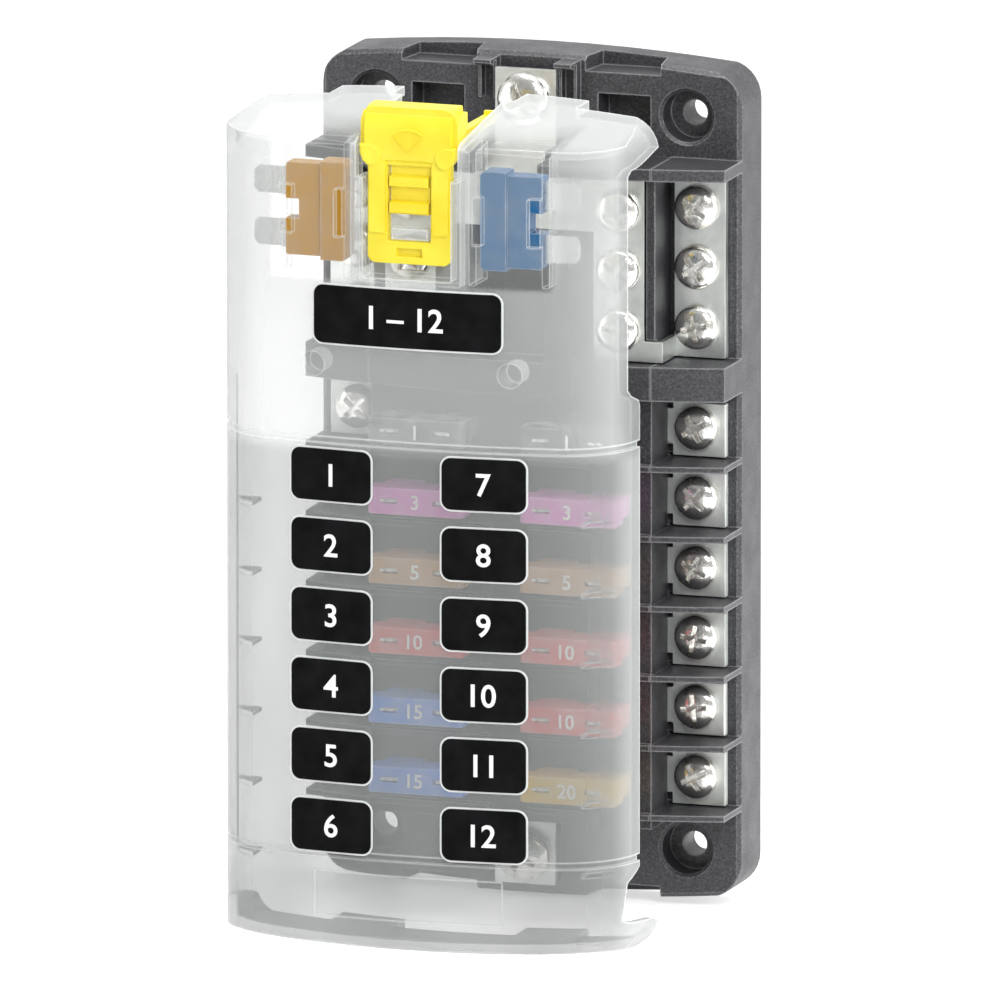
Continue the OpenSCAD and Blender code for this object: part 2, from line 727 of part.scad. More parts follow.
// Everything behind the rear edge of the cover's sides, seen from the side
module cover_rear() {
    skirt = tray_h + cover_gap;
    step = 1.2;
    along_x(-far, far) polygon([[-far, -2], [far, -2], [far, skirt], [hook_top, skirt],
        [wire_top, cover_wire_h - 1], [wire_top - 1, cover_wire_h],
        [wire_bottom, cover_wire_h], [wire_bottom - step, cover_wire_h - 1],
        [wire_bottom - 2 * step, cover_side_h + 0.6], [wire_bottom - 3 * step, cover_side_h],
        [side_bottom, cover_side_h], [side_bottom - 2.6, cover_wire_h],
        [hook_bottom + 2, cover_wire_h + 1.4], [hook_bottom + 1.4, cover_wire_h - 1],
        [hook_bottom, skirt + 3], [hook_bottom - 1, skirt], [-far, skirt]]);
}

module cover_tabs() {
    intersection() {
        difference() {
            cover_form(0);
            cover_form(cover_wall);
        }
        both_sides() both_ends() block(tab_in, tab_out, rim_y - notch_y - 1, far, tab_floor, tray_h + 2);
    }
}

// Walls, floor and end of the pocket that the latch slides in
module latch_pocket() {
    intersection() {
        cover_form(0);
        block(-pocket_out, pocket_out, pocket_bottom - pocket_wall, latch_gap_y, pocket_floor - floor_t, far);
    }
}

// The latch's spring tongue bears on this stop on the pocket's floor
module latch_stop() {
    y = latch_bottom + bar_h + fit;
    block(-tongue_w / 2 + fit, tongue_w / 2 - fit, y, y + stop_h, pocket_floor - fine, latch_front - fit);
}

// Ribs, fuse holders and bosses inside the cover
module cover_inside() {
    intersection() {
        cover_form(cover_wall / 2);
        both_sides() {
            for (y = barrier_ys)
                block(shoulder_rib_x, half_w, y - rib_half, y + rib_half, cover_side_h + 5, far);
            block(spare_in - spare_wall - 0.2, spare_in - 0.2, spare_bottom, spare_top, spare_rib_z, far);
            difference() {
                block(spare_out + 0.2, spare_out + 0.2 + spare_wall, spare_bottom, spare_top, spare_rib_z, far);
                for (s = [-1, 1]) translate([0, spare_y + s * blade_pitch / 2, 0])
                    block(spare_out - 1, spare_out + 3, -blade_w / 2 - 0.2, blade_w / 2 + 0.2,
                        0, spare_z + blade_t / 2 + 0.2);
            }
            translate([boss_x, boss_y, cover_h - 8]) cylinder(d = boss_d, h = 10, $fn = 32);
        }
    }
}

// Grooves, bare panel, latch opening and the small windows by the spares
module cover_cuts() {
    for (y = groove_y) along_y(y - groove_w / 2, y + groove_w / 2) difference() {
        translate([-far, 0]) square([2 * far, far]);
        cover_section(groove_depth);
    }
    intersection() {
        block(-panel_w / 2, panel_w / 2, panel_y - panel_h / 2, panel_y + panel_h / 2, tray_h, far);
        along_y(-far, far) difference() {
            translate([-far, 0]) square([2 * far, far]);
            cover_section(panel_depth);
        }
    }
    block(-latch_gap_x, latch_gap_x, latch_gap_y, far, tray_h - 10, far);
    block(-pocket_in, pocket_in, pocket_bottom, latch_gap_y + 1, pocket_floor, far);
    block(-stem_w / 2 - fit, stem_w / 2 + fit, latch_bottom + 1 - latch_travel - fit,
        latch_bottom + 1 + stem_h + fit, pocket_floor - floor_t - 1, far);
    both_sides() {
        block(spare_in - 0.2, spare_in + 1.4, slot_bottom, slot_top, spare_rib_z, far);
        block(spare_out - 2.2, spare_out + 0.2, slot_bottom, slot_top, spare_rib_z, far);
    }
}

module cover_shell() {
    color([0.92, 0.95, 0.93, 0.45]) lifted() union() {
        difference() {
            union() {
                difference() {
                    cover_form(0);
                    cover_form(cover_wall);
                    cover_rear();
                }
                cover_tabs();
                cover_inside();
                latch_pocket();
            }
            cover_cuts();
        }
        latch_stop();
    }
}

// Latch

// Front of the latch: push pad, two legs, a bar and a window between them
module latch_outline() {
    pad = latch_pad_w / 2;
    leg = latch_leg_w / 2;
    difference() {
        polygon(concat(arc(pad - 3, latch_top - 3, 3, 0, 90, 6), arc(3 - pad, latch_top - 3, 3, 90, 180, 6),
            [[-pad, pad_bottom + 3], [-pad + 0.5, pad_bottom + 0.6], [-pad + 1.2, pad_bottom], [-leg, pad_bottom - 0.4]],
            arc(1.5 - leg, latch_bottom + 1.5, 1.5, 180, 270, 4), arc(leg - 1.5, latch_bottom + 1.5, 1.5, 270, 360, 4),
            [[leg, pad_bottom - 0.4], [pad - 1.2, pad_bottom], [pad - 0.5, pad_bottom + 0.6], [pad, pad_bottom + 3]]));
        translate([-window_in, latch_bottom + bar_h]) square([2 * window_in, pad_bottom - 0.6 - latch_bottom - bar_h]);
        translate([-2.6, latch_bottom + 1.4]) square([5.2, 1.6]);
    }
}

// Springy tongue in the latch's window, drawn from the side: two folds and a foot
module latch_tongue() {
    low = latch_front - 0.9;
    high = latch_front + 0.3;
    fold = (pad_bottom - tongue_end) / 4;
    along_x(-tongue_w / 2, tongue_w / 2) polygon(concat([[pad_bottom + 0.5, latch_back + fine]],
        [[tongue_end, latch_back + fine], [tongue_end, high - 0.4], [tongue_end + 0.4, high]],
        [[tongue_end + fold - 0.4, high], [tongue_end + fold, low], [tongue_end + 2 * fold, low]],
        [[tongue_end + 2 * fold + 0.4, high], [tongue_end + 3 * fold - 0.4, high], [tongue_end + 3 * fold, low]],
        [[pad_bottom + 0.5, low]]));
}

// Push pad, crowned from its foot to its rolled-over upper edge
module latch_pad() {
    pad = latch_pad_w / 2;
    crown = latch_front + 1;
    deep = latch_back - 4;
    along_x(1 - pad, pad - 1) polygon([[pad_bottom, latch_back], [pad_bottom, latch_front],
        [pad_bottom + 0.5, latch_front + 0.7], [pad_bottom + 2, crown], [latch_top - 4, crown],
        [latch_top - 1.6, crown - 0.7], [latch_top - 0.4, crown - 2], [latch_top, crown - 3.4], [latch_top, deep],
        [latch_top - 1.5, deep - 0.5], [latch_top - 1.5, latch_back]]);
    both_sides() along_x(pad - 1.4, pad) polygon([[pad_bottom + 3, latch_back], [pad_bottom + 3.4, latch_front],
        [latch_top - 3.4, latch_front], [latch_top - 1.2, latch_front - 1.6], [latch_top - 1.2, deep],
        [arm_top - arm_t, deep]]);
}

// Arms that run back beside the terminal and end in catch teeth
module latch_arms() {
    both_sides() along_x(arm_x - arm_w / 2, arm_x + arm_w / 2)
        polygon([[arm_top - arm_t, arm_floor], [arm_top, arm_floor], [arm_top + catch_bite + fit, arm_floor + 0.7],
            [arm_top + catch_bite + fit, arm_floor + tooth_h], [arm_top, arm_floor + tooth_h],
            [arm_top, latch_back + 1], [arm_top - arm_t, latch_back + 1]]);
}

module cover_latch() {
    leg = latch_leg_w / 2;
    flange = pocket_floor - floor_t - fit;
    color("Gold") lifted() union() {
        translate([0, 0, latch_back]) linear_extrude(latch_t) latch_outline();
        both_sides() block(window_in + 0.4, leg - 0.4, leg_end, pad_bottom + 1, latch_back + 1, latch_front + leg_rise);
        latch_tongue();
        latch_pad();
        latch_arms();
        block(-stem_w / 2, stem_w / 2, latch_bottom + 1, latch_bottom + 1 + stem_h, flange - 1.4, latch_back + 1);
        block(-stem_w / 2 - 1.4, stem_w / 2 + 1.4, latch_bottom + 1, latch_bottom + 1 + stem_h, flange - 1.4, flange);
    }
}

// Labels

module rounded_rect(w, h) {
    r = label_r;
    polygon(concat(arc(w / 2 - r, h / 2 - r, r, 0, 90, 5), arc(r - w / 2, h / 2 - r, r, 90, 180, 5),
        arc(r - w / 2, r - h / 2, r, 180, 270, 5), arc(w / 2 - r, r - h / 2, r, 270, 360, 5)));
}

// A label bent to the cover's front
module label(w, h, x, y) {
    lifted() intersection() {
        translate([x, y, cover_h - 10]) linear_extrude(20) rounded_rect(w, h);
        along_y(y - h, y + h) difference() {
            cover_section(-label_t);
            cover_section(0);
        }
    }
}

module title_label() color("#101010") label(title_w, title_h, 0, title_y);

module circuit_labels() {
    color("#101010") for (i = [0:circuits - 1])
        label(label_w, label_h, column_side(i) * fuse_x, circuit_y(i) + 1.3);
}

stand() base_tray();
stand() fuse_deck();
stand() negative_bus();
stand() negative_bus_screws();
stand() main_screw(1, 28);  // negative_terminal_screw
stand() positive_bus();
stand() main_screw(-1, 61);  // positive_terminal_screw
stand() circuit_screws();
for (i = [0:circuits - 1]) {
    stand() circuit_terminal(i);
    color(fuse_colour(i), 0.7) stand() seated_fuse(i) fuse_body();
    color("LightGray") stand() seated_fuse(i) fuse_element();
}
color("SandyBrown", 0.7) stand() stored_spare(-1) fuse_body();  // spare_left_body
color("LightGray") stand() stored_spare(-1) fuse_element();  // spare_left_element
color("SteelBlue", 0.7) stand() stored_spare(1) fuse_body();  // spare_right_body
color("LightGray") stand() stored_spare(1) fuse_element();  // spare_right_element
stand() cover_shell();
stand() cover_latch();
stand() title_label();
stand() circuit_labels();
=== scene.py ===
"""Looks of the blade fuse block: finishes, printed numbers, soft edges, light and camera."""
import bmesh
import bpy
import math
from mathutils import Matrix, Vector


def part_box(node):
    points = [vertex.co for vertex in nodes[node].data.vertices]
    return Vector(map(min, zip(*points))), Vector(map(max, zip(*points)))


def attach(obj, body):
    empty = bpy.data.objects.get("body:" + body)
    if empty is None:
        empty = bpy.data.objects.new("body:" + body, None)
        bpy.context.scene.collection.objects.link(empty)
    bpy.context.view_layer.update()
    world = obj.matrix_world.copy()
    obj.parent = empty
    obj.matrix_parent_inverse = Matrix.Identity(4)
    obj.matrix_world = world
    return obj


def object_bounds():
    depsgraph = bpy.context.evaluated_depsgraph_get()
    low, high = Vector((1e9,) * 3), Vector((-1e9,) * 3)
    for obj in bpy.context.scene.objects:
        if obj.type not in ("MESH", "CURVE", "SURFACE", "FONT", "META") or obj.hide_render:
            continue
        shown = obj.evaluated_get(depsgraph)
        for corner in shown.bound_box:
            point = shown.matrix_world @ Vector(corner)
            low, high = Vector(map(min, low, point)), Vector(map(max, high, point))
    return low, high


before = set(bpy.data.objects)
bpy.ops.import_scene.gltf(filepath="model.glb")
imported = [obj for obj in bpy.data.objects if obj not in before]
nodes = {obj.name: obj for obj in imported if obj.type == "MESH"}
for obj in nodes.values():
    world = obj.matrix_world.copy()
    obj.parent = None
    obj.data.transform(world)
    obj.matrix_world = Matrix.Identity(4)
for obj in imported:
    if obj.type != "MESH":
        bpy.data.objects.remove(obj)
cad_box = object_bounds()

MM = 0.001
CIRCUITS = 12
COLUMN = CIRCUITS // 2

# The cover's front is an arc across the block, with this radius
FRONT_RADIUS = 165 * MM
LABEL_CORNER = 1.8 * MM
# The upper groove across the cover, below which the moulding is thicker and greyer
GROOVE_Z = 19.6 * MM
# The clear panes over the two spare fuses, in height and in distance from the middle
SPARE_Z = (51 * MM, 78 * MM)
SPARE_X = (12.5 * MM, 27.5 * MM)

# The latch's pad, and the right lip's outline in mm from the pad's lower edge
PAD_LENGTH = 10.55 * MM
LIP = [(9.62, 3.4), (9.55, 1.6), (9.0, 0.2), (8.0, -0.75), (7.0, -0.95),
       (6.1, -0.5), (5.6, 0.5), (5.2, 1.5), (5.6, 2.6), (7.4, 3.6)]
LIP_THICKNESS = 1.3 * MM
LIP_ROUNDING = 0.35 * MM
# How deep the lip's back lies in the latch
LIP_SINK = 0.9 * MM

# Heights of the printed numbers
LABEL_DIGITS = 4.3 * MM
TITLE_DIGITS = 4.4 * MM
FUSE_DIGITS = 2.7 * MM
LABEL_FILM = 0.25 * MM
LABEL_BORDER = 0.36 * MM
LABEL_BORDER_THICKNESS = 0.18 * MM

# Painted highlight on the charcoal plastic's sharp, rounded edges
EDGE_HIGHLIGHT = (0.36, 0.36, 0.37)

RATINGS = ["1", "3", "5", "10", "15", "15", "1", "3", "5", "10", "10", "20"]
SMOKE = (0.05, 0.055, 0.05)
VIOLET = (0.95, 0.27, 0.76)
TAN = (0.68, 0.38, 0.17)
RED = (0.92, 0.11, 0.11)
BLUE = (0.13, 0.34, 1.00)
YELLOW = (0.86, 0.54, 0.02)
AMBER = (0.44, 0.22, 0.006)
AQUA = (0.006, 0.11, 0.27)
FUSE_COLOURS = [SMOKE, VIOLET, TAN, RED, BLUE, BLUE, SMOKE, VIOLET, TAN, RED, RED, YELLOW]


def fuse_name(i, part):
    return f"fuse_{i + 1:02d}_{part}"


# Material helpers

class Finish:
    """A material with one Principled shader, whose textures stay fixed to the part."""

    def __init__(self, name, colour, roughness, metallic=0.0, alpha=1.0, ior=1.5):
        self.material = bpy.data.materials.new(name)
        self.material.use_nodes = True
        self.tree = self.material.node_tree
        self.shader = self.tree.nodes["Principled BSDF"]
        self.set("Base Color", (*colour, 1.0))
        self.set("Roughness", roughness)
        self.set("Metallic", metallic)
        self.set("Alpha", alpha)
        self.set("IOR", ior)
        self.place = self.tree.nodes.new("ShaderNodeTexCoord").outputs["Object"]

    def set(self, socket, value):
        self.shader.inputs[socket].default_value = value

    def link(self, output, socket):
        self.tree.links.new(output, self.shader.inputs[socket])

    def noise(self, size, detail=3.0, stretch=(1.0, 1.0, 1.0)):
        """Noise whose blotches are about size metres wide."""
        mapping = self.tree.nodes.new("ShaderNodeMapping")
        mapping.inputs["Scale"].default_value = stretch
        self.tree.links.new(self.place, mapping.inputs["Vector"])
        texture = self.tree.nodes.new("ShaderNodeTexNoise")
        texture.inputs["Scale"].default_value = 1.0 / size
        texture.inputs["Detail"].default_value = detail
        self.tree.links.new(mapping.outputs["Vector"], texture.inputs["Vector"])
        return texture.outputs["Fac"]

    def ramp(self, source, stops):
        """Colours at stops, each (position, colour)."""
        ramp = self.tree.nodes.new("ShaderNodeValToRGB")
        elements = ramp.color_ramp.elements
        while len(elements) < len(stops):
            elements.new(0.5)
        for element, (position, colour) in zip(elements, stops):
            element.position = position
            element.color = (*colour, 1.0)
        self.tree.links.new(source, ramp.inputs["Fac"])
        return ramp.outputs["Color"]

    def spread(self, source, low, high, start=0.3, end=0.7):
        """Maps source from start..end to low..high."""
        node = self.tree.nodes.new("ShaderNodeMapRange")
        node.inputs["From Min"].default_value = start
        node.inputs["From Max"].default_value = end
        node.inputs["To Min"].default_value = low
        node.inputs["To Max"].default_value = high
        self.tree.links.new(source, node.inputs["Value"])
        return node.outputs["Result"]

    def along(self, axis):
        split = self.tree.nodes.new("ShaderNodeSeparateXYZ")
        self.tree.links.new(self.place, split.inputs["Vector"])
        return split.outputs[axis]

    def band(self, source, low, high, blur):
        """1 where source lies between low and high, fading to 0 within blur."""
        above = self.spread(source, 0.0, 1.0, low - blur, low)
        below = self.spread(source, 1.0, 0.0, high, high + blur)
        return self.join(above, below, "MULTIPLY")

    def join(self, first, second, operation="ADD"):
        node = self.tree.nodes.new("ShaderNodeMath")
        node.operation = operation
        node.use_clamp = True
        self.tree.links.new(first, node.inputs[0])
        self.tree.links.new(second, node.inputs[1])
        return node.outputs["Value"]

    def bump(self, source, depth, strength=1.0):
        node = self.tree.nodes.new("ShaderNodeBump")
        node.inputs["Distance"].default_value = depth
        node.inputs["Strength"].default_value = strength
        self.tree.links.new(source, node.inputs["Height"])
        self.link(node.outputs["Normal"], "Normal")

    def edges(self, radius):
        """1 on the sharp edges of the shape, 0 on its flats."""
        bevel = self.tree.nodes.new("ShaderNodeBevel")
        bevel.inputs["Radius"].default_value = radius
        geometry = self.tree.nodes.new("ShaderNodeNewGeometry")
        dot = self.tree.nodes.new("ShaderNodeVectorMath")
        dot.operation = "DOT_PRODUCT"
        self.tree.links.new(bevel.outputs["Normal"], dot.inputs[0])
        self.tree.links.new(geometry.outputs["True Normal"], dot.inputs[1])
        return self.spread(dot.outputs["Value"], 1.0, 0.0, 0.78, 0.97)


def black_plastic(name="black_plastic", low=(0.022, 0.022, 0.025), high=(0.075, 0.075, 0.084)):
    """Charcoal moulding with a fine spark-eroded grain, and a painted highlight on its sharp
    edges.
    """
    finish = Finish(name, low, 0.42, ior=1.56)
    grain = finish.noise(0.45 * MM, 5.0)
    # Painted highlight: the sharp edges are made paler, up to the highlight colour.
    edge_highlight = finish.spread(finish.edges(0.6 * MM), 0.0, 0.65, 0.0, 1.0)
    tone = finish.join(grain, edge_highlight)
    finish.link(finish.ramp(tone, [(0.38, low), (0.68, high), (1.0, EDGE_HIGHLIGHT)]), "Base Color")
    finish.link(finish.spread(finish.noise(6 * MM), 0.36, 0.5), "Roughness")
    finish.bump(grain, 0.06 * MM, 0.6)
    return finish.material


def tinned_strip(name="tinned_strip", smooth=0.28):
    """Tin-plated strip, rolled along the block, with faint blotches."""
    finish = Finish(name, (0.70, 0.73, 0.70), 0.3, metallic=1.0)
    blotch = finish.noise(5 * MM, 4.0)
    finish.link(finish.ramp(blotch, [(0.3, (0.68, 0.71, 0.69)), (0.7, (0.88, 0.90, 0.87))]),
                "Base Color")
    rolling = finish.noise(0.5 * MM, 3.0, (1.0, 1.0, 0.05))
    finish.link(finish.spread(rolling, smooth, smooth + 0.18), "Roughness")
    finish.bump(rolling, 0.01 * MM, 0.5)
    return finish.material


def plated_screw():
    """Bright nickel, a little wavy from cold forming."""
    finish = Finish("plated_screw", (0.80, 0.79, 0.75), 0.16, metallic=1.0)
    tarnish = finish.noise(1.6 * MM, 4.0)
    finish.link(finish.ramp(tarnish, [(0.3, (0.62, 0.60, 0.55)), (0.6, (0.86, 0.85, 0.82))]),
                "Base Color")
    finish.link(finish.spread(tarnish, 0.28, 0.12), "Roughness")
    finish.bump(finish.noise(1.1 * MM, 2.0), 0.09 * MM, 0.8)
    return finish.material


def fuse_metal():
    finish = Finish("fuse_metal", (0.74, 0.75, 0.74), 0.35, metallic=1.0)
    finish.link(finish.spread(finish.noise(0.8 * MM), 0.25, 0.45), "Roughness")
    return finish.material


def fuse_plastic(name, colour, paleness=0.22):
    """Tinted clear plastic, deeper or paler at random, with a painted highlight on its sharp
    edges.
    """
    finish = Finish(name, colour, 0.26, alpha=0.8)
    finish.set("Specular IOR Level", 0.3)
    pale = tuple(c + (1.0 - c) * paleness for c in colour)
    bright = tuple(c + (1.0 - c) * (paleness + 0.38) for c in colour)
    flow = finish.noise(3.5 * MM, 2.0)
    # Painted highlight: the sharp edges are made paler, towards the bright tint.
    rim = finish.spread(finish.edges(0.5 * MM), 0.0, 0.5, 0.0, 1.0)
    tint = finish.ramp(finish.join(flow, rim), [(0.35, colour), (0.7, pale), (1.0, bright)])
    finish.link(tint, "Base Color")
    finish.link(finish.spread(flow, 0.94, 0.84), "Alpha")
    finish.bump(finish.noise(0.9 * MM), 0.02 * MM, 0.5)
    return finish.material


def frosted_cover():
    """Frosted clear moulding: a milky veil, thicker on its edges, sides and skirts.

    It is greyer below the upper groove and along its upper sides. It scatters light
    more than it stops it, so it hides less from the lamps than from the eye."""
    finish = Finish("frosted_cover", (0.78, 0.81, 0.79), 0.36, alpha=0.36)
    cloud = finish.noise(22 * MM, 2.0, (1.0, 1.0, 0.35))
    across = finish.along("X")
    height = finish.along("Z")
    depth = finish.along("Y")
    low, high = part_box("cover_shell")
    lower = finish.spread(height, 1.0, 0.0, GROOVE_Z - 3 * MM, GROOVE_Z)
    skirts = finish.spread(depth, 0.0, 1.0, low.y + 3 * MM, low.y + 9 * MM)
    crown = finish.spread(height, 0.0, 1.0, high.z - 9 * MM, high.z - 5 * MM)
    pane = finish.join(finish.band(height, *SPARE_Z, 1.0 * MM),
                       finish.join(finish.band(across, -SPARE_X[1], -SPARE_X[0], 1.0 * MM),
                                   finish.band(across, *SPARE_X, 1.0 * MM)), "MULTIPLY")
    sides = finish.join(finish.spread(across, 1.0, 0.0, low.x + 1 * MM, low.x + 3 * MM),
                        finish.spread(across, 0.0, 1.0, high.x - 3 * MM, high.x - 1 * MM))
    side = finish.join(sides, lower, "MULTIPLY")
    upper_side = finish.join(sides, side, "SUBTRACT")
    tone = finish.join(finish.spread(cloud, 0.36, 0.48), finish.spread(lower, 0.0, 0.52, 0.0, 1.0))
    tone = finish.join(tone, finish.spread(crown, 0.0, 0.14, 0.0, 1.0), "SUBTRACT")
    # Painted highlight: the cover's sides below the groove are made paler.
    tone = finish.join(tone, finish.spread(side, 0.0, 0.4, 0.0, 1.0), "SUBTRACT")
    tone = finish.join(tone, finish.spread(upper_side, 0.0, 0.4, 0.0, 1.0))
    # Painted highlight: the cover's sharp edges are made paler in colour; the same mask also
    # thickens the veil there.
    edge = finish.edges(0.7 * MM)
    tone = finish.join(tone, finish.spread(edge, 0.0, 0.7, 0.0, 1.0), "SUBTRACT")
    finish.link(finish.ramp(tone, [(0.0, (0.80, 0.82, 0.81)), (0.3, (0.60, 0.62, 0.61)),
                                   (1.0, (0.265, 0.278, 0.274))]), "Base Color")
    veil = finish.join(finish.spread(cloud, 0.31, 0.38), finish.spread(lower, 0.0, 0.08, 0.0, 1.0))
    veil = finish.join(veil, finish.spread(finish.join(skirts, sides), 0.0, 0.12, 0.0, 1.0))
    veil = finish.join(veil, finish.spread(crown, 0.0, 0.07, 0.0, 1.0))
    veil = finish.join(veil, finish.spread(pane, 1.0, 0.28, 0.0, 1.0), "MULTIPLY")
    rim = finish.spread(edge, 0.0, 0.4, 0.0, 1.0)
    path = finish.tree.nodes.new("ShaderNodeLightPath")
    thinning = finish.spread(path.outputs["Is Shadow Ray"], 1.0, 0.2, 0.0, 1.0)
    finish.link(finish.join(finish.join(veil, rim), thinning, "MULTIPLY"), "Alpha")
    finish.bump(finish.noise(0.35 * MM, 3.0), 0.02 * MM, 0.35)
    return finish.material


def yellow_plastic():
    finish = Finish("yellow_plastic", (0.95, 0.74, 0.02), 0.36)
    shade = finish.noise(7 * MM, 2.0)
    finish.link(finish.ramp(shade, [(0.3, (0.84, 0.66, 0.02)), (0.7, (0.90, 0.78, 0.05))]),
                "Base Color")
    finish.link(finish.spread(finish.noise(2 * MM), 0.28, 0.42), "Roughness")
    finish.bump(finish.noise(0.5 * MM), 0.012 * MM, 0.4)
    return finish.material


def label_film():
    """Satin black film, very slightly uneven where it is stuck down."""
    finish = Finish("label_film", (0.006, 0.006, 0.006), 0.5)
    finish.set("Specular IOR Level", 0.03)
    wave = finish.noise(4 * MM, 2.0)
    finish.link(finish.ramp(wave, [(0.3, (0.004, 0.004, 0.004)), (0.7, (0.009, 0.009, 0.01))]),
                "Base Color")
    finish.bump(wave, 0.02 * MM, 0.4)
    return finish.material


def white_print(name="white_print", colour=(0.97, 0.97, 0.95)):
    finish = Finish(name, colour, 0.5)
    worn = tuple(c * 0.93 for c in colour)
    finish.link(finish.ramp(finish.noise(0.6 * MM), [(0.3, worn), (0.6, colour)]), "Base Color")
    return finish.material


# Carried-over solids

def dress(node, material):
    mesh = nodes[node].data
    mesh.materials.clear()
    mesh.materials.append(material)


def soften(node, width, segments=2, pierced=False):
    """Rounds the solid's sharp edges, as a mould or a press leaves them."""
    solid = nodes[node]
    weld = solid.modifiers.new("weld", "WELD")
    weld.merge_threshold = 0.001 * MM
    if not pierced:
        flats = solid.modifiers.new("flats", "DECIMATE")
        flats.decimate_type = "DISSOLVE"
        flats.angle_limit = math.radians(0.3)
    bevel = solid.modifiers.new("bevel", "BEVEL")
    bevel.width = width
    bevel.segments = segments
    bevel.limit_method = "ANGLE"
    bevel.angle_limit = math.radians(32)
    bevel.miter_outer = "MITER_ARC"
    bevel.use_clamp_overlap = True
    weights = solid.modifiers.new("weights", "WEIGHTED_NORMAL")
    weights.keep_sharp = False


def dress_solids():
    plastic = black_plastic()
    strip = tinned_strip()
    terminal = tinned_strip("tinned_terminal", 0.5)
    screw = plated_screw()
    metal = fuse_metal()
    film = label_film()
    dress("base_tray", plastic)
    dress("fuse_deck", black_plastic("deck_plastic", (0.014, 0.014, 0.016), (0.052, 0.052, 0.058)))
    dress("negative_bus", strip)
    dress("positive_bus", strip)
    for i in range(CIRCUITS):
        dress(f"circuit_terminal_{i + 1:02d}", terminal)
        soften(f"circuit_terminal_{i + 1:02d}", 0.3 * MM)
        dress(fuse_name(i, "body"), fuse_plastic(f"fuse_plastic_{i + 1:02d}", FUSE_COLOURS[i]))
        soften(fuse_name(i, "body"), 0.35 * MM, 3)
        dress(fuse_name(i, "element"), metal)
    for side, colour in (("left", AMBER), ("right", AQUA)):
        dress(f"spare_{side}_body", fuse_plastic(f"spare_plastic_{side}", colour, 0.06))
        soften(f"spare_{side}_body", 0.35 * MM, 3)
        dress(f"spare_{side}_element", metal)
    for node in ("circuit_screws", "negative_bus_screws", "negative_terminal_screw",
                 "positive_terminal_screw"):
        dress(node, screw)
        soften(node, 0.18 * MM)
    dress("cover_shell", frosted_cover())
    dress("cover_latch", yellow_plastic())
    for node in ("title_label", "circuit_labels"):
        dress(node, film)
    for node, width in (("base_tray", 0.45), ("fuse_deck", 0.4), ("negative_bus", 0.3),
                        ("positive_bus", 0.3), ("cover_latch", 0.3), ("cover_shell", 0.25)):
        soften(node, width * MM, pierced=node == "cover_latch")


# Added pieces

def add_piece(name, mesh, material, body):
    mesh.materials.clear()
    mesh.materials.append(material)
    piece = bpy.data.objects.new(name, mesh)
    bpy.context.scene.collection.objects.link(piece)
    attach(piece, body)


def text_mesh(text, height, weight, thickness):
    """Flat mesh of text, centred on the origin, standing on z = 0."""
    curve = bpy.data.curves.new("text", "FONT")
    curve.body = text
    curve.size = height / 0.70
    curve.offset = weight
    curve.extrude = thickness / 2
    curve.resolution_u = 6
    curve.align_x = "CENTER"
    curve.align_y = "CENTER"
    holder = bpy.data.objects.new("text", curve)
    bpy.context.scene.collection.objects.link(holder)
    final = holder.evaluated_get(bpy.context.evaluated_depsgraph_get())
    mesh = bpy.data.meshes.new_from_object(final)
    bpy.data.objects.remove(holder)
    xs = [v.co.x for v in mesh.vertices]
    ys = [v.co.y for v in mesh.vertices]
    middle = Vector(((min(xs) + max(xs)) / 2, (min(ys) + max(ys)) / 2, -thickness / 2))
    for v in mesh.vertices:
        v.co -= middle
    return mesh


def bar_mesh(width, height, thickness):
    mesh = bpy.data.meshes.new("bar")
    bm = bmesh.new()
    bmesh.ops.create_cube(bm, size=1.0)
    bmesh.ops.scale(bm, vec=(width, height, thickness), verts=bm.verts)
    bmesh.ops.translate(bm, vec=(0, 0, thickness / 2), verts=bm.verts)
    bmesh.ops.bevel(bm, geom=bm.edges[:], offset=min(height, thickness) * 0.3, segments=2,
                    affect="EDGES")
    bm.to_mesh(mesh)
    bm.free()
    return mesh


def rounded_outline(width, height, corner, steps=6):
    points = []
    for quarter, (sx, sy) in enumerate(((1, 1), (-1, 1), (-1, -1), (1, -1))):
        for k in range(steps + 1):
            angle = math.radians(90 * quarter + 90 * k / steps)
            points.append((sx * (width / 2 - corner) + corner * math.cos(angle),
                           sy * (height / 2 - corner) + corner * math.sin(angle)))
    return points


def rim_mesh(width, height, corner, border, thickness):
    """A flat closed border round a rounded rectangle."""
    loops = []
    for inset, level in ((0, 0), (0, thickness), (border, thickness), (border, 0)):
        outline = rounded_outline(width - 2 * inset, height - 2 * inset, corner - inset)
        loops.append([(x, y, level) for x, y in outline])
    count = len(loops[0])
    mesh = bpy.data.meshes.new("rim")
    faces = []
    for ring in range(4):
        for k in range(count):
            after = (k + 1) % count
            other = (ring + 1) % 4
            faces.append((ring * count + k, ring * count + after,
                          other * count + after, other * count + k))
    mesh.from_pydata([p for loop in loops for p in loop], [], faces)
    bm = bmesh.new()
    bm.from_mesh(mesh)
    bmesh.ops.recalc_face_normals(bm, faces=bm.faces)
    bm.to_mesh(mesh)
    bm.free()
    return mesh


def slice_across(mesh, step):
    """Cuts a wide mesh into upright strips, so that it can follow the cover's curve."""
    bm = bmesh.new()
    bm.from_mesh(mesh)
    reach = max(abs(v.co.x) for v in bm.verts)
    for k in range(-int(reach / step), int(reach / step) + 1):
        bmesh.ops.bisect_plane(bm, geom=bm.verts[:] + bm.edges[:] + bm.faces[:],
                               plane_co=(k * step, 0, 0), plane_no=(1, 0, 0))
    bm.to_mesh(mesh)
    bm.free()


def lay_flat(mesh, x, z, height):
    """Stands a mesh drawn in x, y up to face -Y at x, z, with its back height out of the wall."""
    for v in mesh.vertices:
        v.co = Vector((x + v.co.x, -height - v.co.z, z + v.co.y))


